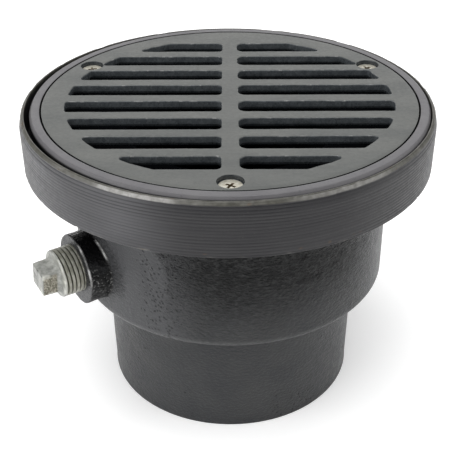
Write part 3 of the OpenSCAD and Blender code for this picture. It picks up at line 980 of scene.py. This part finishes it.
def make_grate():
    bar_z = grate_top - BAR_T
    corners = [(1.5, bar_z), (THIN_R, bar_z), (THICK_R, seat_z), (grate_r - 0.8, seat_z),
               (grate_r, seat_z + 0.8), (grate_r, grate_top - 0.5), (grate_r - 0.12, grate_top - 0.15),
               (grate_r - 0.5, grate_top), (1.5, grate_top)]
    path = [corners[0]]
    for (r0, z0), (r1, z1) in pairwise(corners):
        cuts = max(1, round(hypot(r1 - r0, z1 - z0) / 2.4))
        path.extend((r0 + (r1 - r0) * t, z0 + (z1 - z0) * t) for t in np.linspace(0, 1, cuts + 1)[1:])
    points, _ = revolved(np.array(path), 300)
    dip = 0.03 + 0.03 * noise(points, 13, seed=89)
    points[..., 2] -= dip * (points[..., 2] > grate_top - 0.2)
    points[..., 2] += 0.14 * (1 + fractal(points, (4, 4, 4), 2, seed=91)) * (points[..., 2] < grate_top - 1)
    grate = stacked("slotted_grate", points)
    cutters = [slot_cutter((row - (SLOT_ROWS - 1) / 2) * SLOT_PITCH, side)
               for row in range(SLOT_ROWS) for side in (-1, 1)]
    cutters += [screw_cutter(at) for at in GRATE_SCREWS.values()]
    combine(grate, cutters, "DIFFERENCE", sharp=42)
    paint_grate(grate)
    dress(grate, "grate", "grate", grate_paint())


# ---- screws

def cross_outline(angle, width, slot):
    """Distance from the middle to the edge of a cross-shaped recess."""
    a = np.abs((angle + TURN / 8) % (TURN / 4) - TURN / 8)
    arm_end = width / 2 / np.cos(a)
    arm_side = slot / 2 / np.maximum(np.sin(a), 1e-3)
    return (arm_end ** -12.0 + arm_side ** -12.0) ** (-1 / 12.0)


def make_screw(node, body, profile, shank_r, pitch, recess_width, recess_turn, at):
    """A threaded screw with a cross recess; profile is (r, z) from the tip up to the top of the head."""
    columns, recess_columns = 72, 160
    tip_z, (top_r, top_z) = profile[0][1], profile[-1]
    rings = []
    for (r0, z0), (r1, z1) in pairwise(profile):
        cuts = max(1, ceil(hypot(r1 - r0, z1 - z0) / 0.22))
        for t in np.linspace(0, 1, cuts, endpoint=False):
            radius, z = r0 + (r1 - r0) * t, z0 + (z1 - z0) * t
            if radius <= shank_r + 1e-6 and z > tip_z + 0.2:
                turns = z / pitch - around_circle(columns) / TURN
                radius = radius - 0.32 * pitch * (1 - thread_shape(turns))
            rings.append(circle(radius, z, at, columns))
    rings.append(circle(top_r, top_z, at, columns))
    screw = stacked(node + "_plated", rings)
    recess = []
    for depth, share, slot in ((2.3, 0.18, 0.45), (1.2, 0.55, 0.8), (0.35, 0.84, 1.0), (0.0, 1.0, 1.15),
                               (-0.3, 1.16, 1.5)):
        radius = cross_outline(around_circle(recess_columns) - recess_turn, recess_width * share, slot)
        recess.append(circle(radius, top_z - depth, at, recess_columns))
    combine(screw, [stacked("recess", recess)], "DIFFERENCE", sharp=35)
    centres, facing = faces_of(screw)
    z = centres[:, 2]
    in_recess = np.hypot(centres[:, 0] - at.x, centres[:, 1] - at.y) < recess_width * 0.6
    in_recess &= (z < top_z - 0.02) & (z > top_z - 2.35)
    thread_root = 0.6 * (z < profile[3][1]) * (np.abs(facing[:, 2]) < 0.9)
    dirt = np.maximum(in_recess * 1.0, thread_root * ramp(0, 0.5, noise(centres, 2, seed=95)))
    paint_mask(screw, "dirt", dirt, "FACE")
    dress(screw, body, node, nickel_plate())


def make_grate_screws():
    """Number 10 flat heads; each recess has stopped at its own angle."""
    shank, head, length = 2.4, 4.85, 12.7
    top = grate_top - SCREW_SINK
    cone = (head - shank) / tan(radians(41))
    profile = [(0.9, top - length), (shank - 0.5, top - length), (shank, top - length + 0.5),
               (shank, top - 0.3 - cone), (head, top - 0.3), (head, top - 0.12), (head - 0.16, top),
               (3.4, top), (0.6, top)]
    turns = {"grate_screw_front": -32, "grate_screw_left": 15, "grate_screw_right": 38}
    for node, at in GRATE_SCREWS.items():
        make_screw(node, node, profile, shank, 1.06, 4.4, radians(turns[node]), at)


def make_collar_screws():
    """Quarter-inch pan heads, out of sight under the strainer head."""
    shank, head, seat = 3.1, 6.2, SCREW_SEAT_Z
    tip = WEB_Z - 15.5
    profile = [(1.5, tip), (shank - 0.6, tip), (shank, tip + 0.6), (shank, seat), (head, seat),
               (head, seat + 1.9), (head - 0.5, seat + 2.8), (head - 1.9, seat + 3.6), (0.8, seat + 3.6)]
    for count, (node, at) in enumerate(COLLAR_SCREWS.items()):
        make_screw(node, "body", profile, shank, 1.27, 6.2, radians(20 + 50 * count), at)


# ---- primer plug

def square_radius(angle, half, sharpness):
    """Polar outline of a square of half-width half; a higher sharpness gives tighter corners."""
    a = angle - SQUARE_TURN
    return half / (np.abs(np.cos(a)) ** sharpness + np.abs(np.sin(a)) ** sharpness) ** (1 / sharpness)


def plug_radii(angle):
    """Rows (distance out, radius at each angle) of the plug, from its inner end to its square end."""
    inner_end, end = SHOULDER - PLUG_L, SHOULDER + SQUARE_L
    fillet, rim = 1.8, 0.9
    crest_r = PLUG_R - 0.1
    rows = [(inner_end, PLUG_R - 2.4 + 0 * angle)]
    for out in np.arange(inner_end + 0.1, SHOULDER - rim, 0.14):
        phase = ((out - THREAD_START) / PLUG_PITCH - angle / TURN) % 1.0
        crest = np.clip(2.3 - 4.6 * np.abs(phase - 0.5), 0, 1)
        run_out = ramp(SHOULDER - 0.5, SHOULDER - 1.0, out)
        lead = ramp(inner_end + 1.2, inner_end, out)
        rows.append((out, crest_r - PLUG_THREAD_DEPTH * (1 - crest) * run_out - lead))
    for bend in np.linspace(0, TURN / 4, 9):
        radius = PLUG_FACE_R + (crest_r - PLUG_FACE_R) * cos(bend)
        rows.append((SHOULDER - rim * (1 - sin(bend)), radius + 0 * angle))
    square = square_radius(angle, SQUARE_HALF, 14)
    for share in np.linspace(0, 1, 8):
        height = fillet * (1 - cos(share * TURN / 4))
        grow = fillet * (1 - sin(share * TURN / 4))
        rows.append((SHOULDER + height, np.minimum(square + grow, PLUG_FACE_R - 0.1 - 0.3 * share)))
    for out in np.linspace(SHOULDER + fillet + 0.4, end - 0.5, 16):
        half = SQUARE_HALF + (SQUARE_END_HALF - SQUARE_HALF) * (out - SHOULDER) / SQUARE_L
        rows.append((out, square_radius(angle, half, 16)))
    for out, inset in ((end - 0.25, 0.05), (end - 0.08, 0.2), (end, 0.5), (end, 1.2), (end, 3.6)):
        rows.append((out, square_radius(angle, SQUARE_END_HALF - inset, 14)))
    return rows


def paint_primer_plug(plug):
    """Masks of the plug's thread, its worn edges and the painted highlight on its shoulder's rim, the grime
    on one flat and the dull square end.
    """
    points = points_of(plug)
    along, side, up = from_tapping(points)
    distance, around = np.hypot(side, up), np.arctan2(up, side)
    square_end = SHOULDER + SQUARE_L
    at_end = along > square_end - 0.3
    on_thread = along < SHOULDER - 0.95
    on_head = ramp(SHOULDER + 1.2, SHOULDER + 2.0, along)
    paint_mask(plug, "thread", 0.9 * on_thread)
    paint_mask(plug, "root", on_thread * ramp(PLUG_R - 0.40, PLUG_R - 0.75, distance))
    paint_mask(plug, "dull", at_end * ramp(-0.3, 0.3, fractal(points, 4.0, 2, seed=107)))
    front_flat = sector(around - SQUARE_TURN, 0, 50, 40) * (distance > SQUARE_END_HALF - 0.7)
    paint_mask(plug, "grime", on_head * front_flat * ~at_end)

    worn = ramp(-0.2, 0.5, noise(points, 1.6, seed=101))
    crest = on_thread * ramp(PLUG_R - 0.3, PLUG_R - 0.14, distance)
    corner = on_head * ramp(0.93, 0.995, np.abs(np.sin(2 * (around - SQUARE_TURN))))
    end_edge = near(along, square_end - 0.2, 1.2, 0.3) * (distance > SQUARE_END_HALF - 0.6)
    # Painted highlight along the shoulder's rim, strongest on its front side.
    shoulder_rim = near(along, SHOULDER - 0.3, 0.9, 0.3) * (distance > PLUG_FACE_R - 0.3)
    near_front = 0.2 + 0.8 * sector(around, 20, 60, 35)
    paint_mask(plug, "edge", (0.35 * crest + 0.6 * corner + 0.4 * end_edge) * worn
               + shoulder_rim * near_front * (0.3 + 0.6 * worn))


def make_primer_plug():
    """Cast pipe plug: thread, plain rim, flat shoulder, and a square head with worn corners."""
    angle = around_circle(240)
    angle = np.where(angle > pi, angle - TURN, angle)
    rings = np.array([along_tapping(out, radius * np.cos(angle), radius * np.sin(angle))
                      for out, radius in plug_radii(angle)])
    out = from_tapping(rings)[0]
    cast = ramp(SHOULDER + 0.4, SHOULDER + 1.5, out)
    dent = cast * (0.08 * fractal(rings, 2.0, 3, seed=97) + 0.06 * noise(rings, 5, seed=99)) + 0.04
    rings = pushed_in(rings, dent)
    on_face = ramp(SHOULDER - 0.2, SHOULDER, out) * (1 - cast)
    on_end = ramp(SHOULDER + SQUARE_L - 0.4, SHOULDER + SQUARE_L, out)
    sink = (on_face + on_end) * (0.08 + 0.09 * fractal(rings, 2.6, 2, seed=103))
    plug = stacked("primer_plug_cast", rings - primer_out * sink[..., None], sharp=45)
    paint_primer_plug(plug)
    dress(plug, "primer_plug", "primer_plug", galvanised())


# ---- stage, lights and camera

def make_floor():
    half = 3000
    corners = [(-half, -half, 0), (half, -half, 0), (half, half, 0), (-half, half, 0)]
    floor = make_piece("floor", corners, [(0, 1, 2, 3)])
    paint = Paint("floor_paint")
    floor.data.materials.append(paint.finish(FLOOR_COLOUR, 0.9, specular=0.1))
    paint.shader.inputs["Emission Color"].default_value = (1, 1, 1, 1)
    paint.shader.inputs["Emission Strength"].default_value = FLOOR_GLOW


def aim(thing, place, target, roll=0.0):
    """Puts a light or camera at a place, in millimetres, pointing at a target."""
    place, target = Vector(place) * MM, Vector(target) * MM
    look = (target - place).to_track_quat("-Z", "Y").to_matrix().to_4x4()
    thing.matrix_world = Matrix.Translation(place) @ look @ Matrix.Rotation(roll, 4, "Z")


def make_lights():
    """Soft panels in millimetres: name, place, width, height, radiance. All point at the drain's middle."""
    panels = (("top_panel", (-200, -350, 2200), 2200, 2000, 4.2),
              ("back_panel", (0, 2000, 1150), 3200, 1500, 0.9),
              ("left_panel", (-1450, -850, 500), 1500, 1100, 2.9),
              ("right_panel", (1700, 0, 600), 1500, 1300, 1.65),
              ("front_panel", (-300, -2000, 900), 2200, 1200, 0.2))
    for name, place, width, height, radiance in panels:
        light = bpy.data.lights.new(name, "AREA")
        light.shape = "RECTANGLE"
        light.size, light.size_y = width * MM, height * MM
        light.energy = radiance * pi * width * height * MM * MM
        aim(add_object(name, light), place, (0, 0, 80))


def make_world():
    world = bpy.data.worlds.new("studio")
    bpy.context.scene.world = world
    world.use_nodes = True
    world.node_tree.nodes["Background"].inputs["Color"].default_value = (*WORLD_COLOUR, 1)


def make_camera():
    camera = add_object("camera", bpy.data.cameras.new("camera"))
    camera.data.sensor_width = CAMERA_SENSOR
    camera.data.lens = CAMERA_LENS
    camera.data.clip_start = 0.01
    aim(camera, CAMERA_PLACE, CAMERA_TARGET, CAMERA_ROLL)
    bpy.context.scene.camera = camera


bpy.context.scene.view_settings.view_transform = "Standard"
make_drain_body()
make_top_collar()
make_strainer_head()
make_grate()
make_grate_screws()
make_collar_screws()
make_primer_plug()
gasket = bpy.data.objects["collar_gasket"]
gasket.data.materials.clear()
gasket.data.materials.append(sheet_rubber())
make_floor()
make_lights()
make_world()
make_camera()
